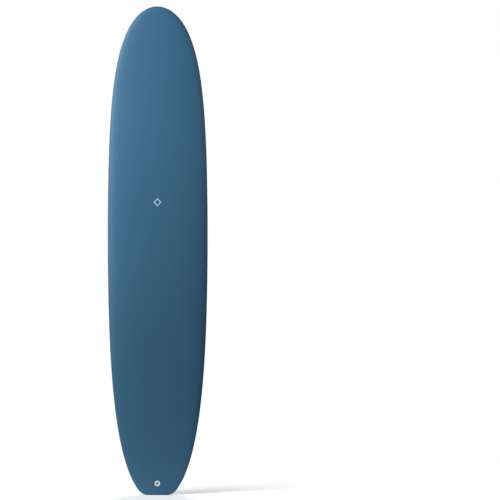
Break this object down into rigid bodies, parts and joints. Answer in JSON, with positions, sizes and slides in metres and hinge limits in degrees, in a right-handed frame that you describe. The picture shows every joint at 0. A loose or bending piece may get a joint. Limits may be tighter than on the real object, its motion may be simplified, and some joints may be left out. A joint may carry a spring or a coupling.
{
  "type": "surfboard",
  "caption": "Longboard surfboard with round nose, square tail, matte painted hull over a foam sandwich, centre fin box with sliding plate, and leash cup.",
  "frame": {"origin": "centre of the flat tail end, on the board's centre plane", "axes": "+Z from the tail to the nose, +X across the board to the right seen from the deck, -Y out of the deck and +Y out of the bottom"},
  "size_m": [0.5842, 0.1038, 2.8448],
  "materials": {
    "painted_glass": "matte blue paint over glass laminate",
    "hard_foam": "fine closed-cell foam",
    "core_foam": "beaded white foam",
    "stringer_wood": "plain plywood",
    "box_plastic": "pale grey moulded plastic",
    "plate_brass": "dull brass",
    "stainless": "plain stainless steel",
    "cup_plastic": "off-white moulded plastic",
    "mark_film": "pale blue printed film"
  },
  "bodies": {
    "board": {"deck_skin": "painted_glass", "bottom_skin": "painted_glass", "deck_sheet": "hard_foam", "bottom_sheet": "hard_foam", "rail_band_left": "hard_foam", "rail_band_right": "hard_foam", "nose_block": "hard_foam", "tail_block": "hard_foam", "core_left": "core_foam", "core_right": "core_foam", "stringer": "stringer_wood", "fin_box": "box_plastic", "fin_block": "hard_foam", "leash_cup": "cup_plastic", "leash_bar": "stainless", "leash_block": "hard_foam", "deck_mark": "mark_film", "bottom_mark": "mark_film"},
    "plate": {"fin_plate": "plate_brass"},
    "screw": {"fin_screw": "stainless"}
  },
  "joints": [
    {"name": "fin_plate_slide", "type": "slide", "parent": "board", "child": "plate", "axis": [0, -0.1019, -0.9948], "range_m": [0, 0.259]},
    {"name": "fin_screw_turn", "type": "hinge", "parent": "plate", "child": "screw", "pos_m": [0, 0.05762, 0.36788], "axis": [0, 0.9948, -0.1019], "continuous": true}
  ]
}
